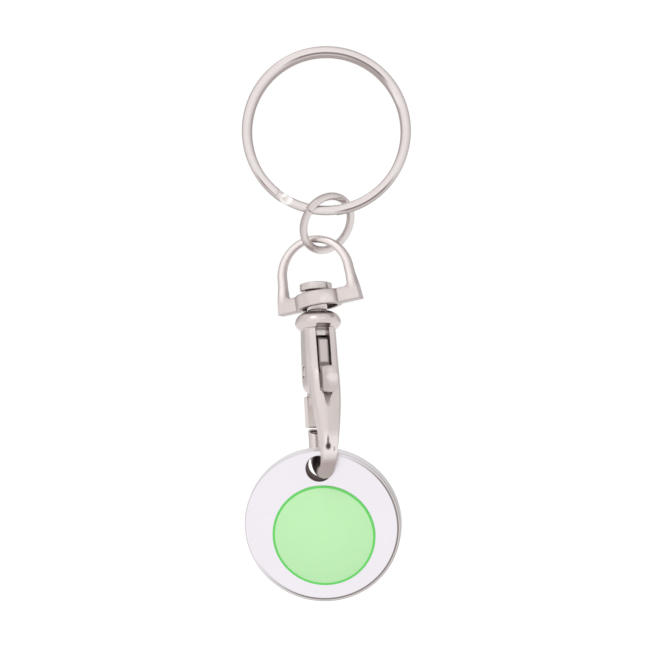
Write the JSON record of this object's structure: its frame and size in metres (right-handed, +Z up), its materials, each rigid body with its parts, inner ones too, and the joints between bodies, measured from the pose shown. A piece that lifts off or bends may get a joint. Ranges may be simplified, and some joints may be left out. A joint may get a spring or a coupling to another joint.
{
  "type": "trolley coin keyring",
  "caption": "Split ring, jump ring, swivel bail and trigger hook carrying a round trolley token with a printed disc; hangs from the ring, hook opens to free the token.",
  "frame": {"origin": "inside of the split ring at its top, on the point that rests on whatever holds the ring up", "axes": "+Z straight up along the hanging keyring, +X to the viewer's right, +Y away from the viewer, behind the printed face of the token"},
  "size_m": [0.025, 0.0115, 0.0822],
  "materials": {
    "spring_steel": "nickel plated, bright",
    "plated_wire": "nickel plated, bright",
    "plated_casting": "nickel plated, softly polished casting",
    "plated_rivet": "nickel plated, turned",
    "token_metal": "bright plated, smooth",
    "print": "printed enamel, pale green with a darker green outline"
  },
  "bodies": {
    "ring": {"split_ring": "spring_steel"},
    "link": {"jump_ring": "plated_wire"},
    "bail": {"swivel_bail": "plated_casting"},
    "hook": {"hook_body": "plated_casting", "swivel_rivet": "plated_rivet", "gate_pin": "plated_rivet", "gate_spring": "spring_steel"},
    "gate": {"gate_lever": "plated_casting"},
    "token": {"trolley_coin": "token_metal", "print_disc": "print"}
  },
  "joints": [
    {"name": "link_swing", "type": "hinge", "parent": "ring", "child": "link", "pos_m": [0, 0.0001, -0.0224], "axis": [1, 0, 0], "range_deg": [-70, 70]},
    {"name": "bail_swing", "type": "hinge", "parent": "link", "child": "bail", "pos_m": [-0.00045, 0.00107, -0.027], "axis": [0.9067, -0.3733, -0.1962], "range_deg": [-70, 70]},
    {"name": "hook_swivel", "type": "hinge", "parent": "bail", "child": "hook", "pos_m": [-0.00133, 0.00028, -0.0376], "axis": [-0.0581, 0.1591, 0.9856], "continuous": true},
    {"name": "gate_open", "type": "hinge", "parent": "hook", "child": "gate", "pos_m": [-0.00095, -0.00066, -0.04646], "axis": [-0.9595, -0.2816, -0.0111], "range_deg": [0, 25], "stiffness_Nm_per_rad": 0.02, "springref_deg": -11.46, "deforming": ["gate_spring"]},
    {"name": "token_swing", "type": "hinge", "parent": "hook", "child": "token", "pos_m": [-0.00099, -0.00083, -0.06047], "axis": [0.0945, 0.9642, 0.2479], "range_deg": [-50, 50]}
  ]
}
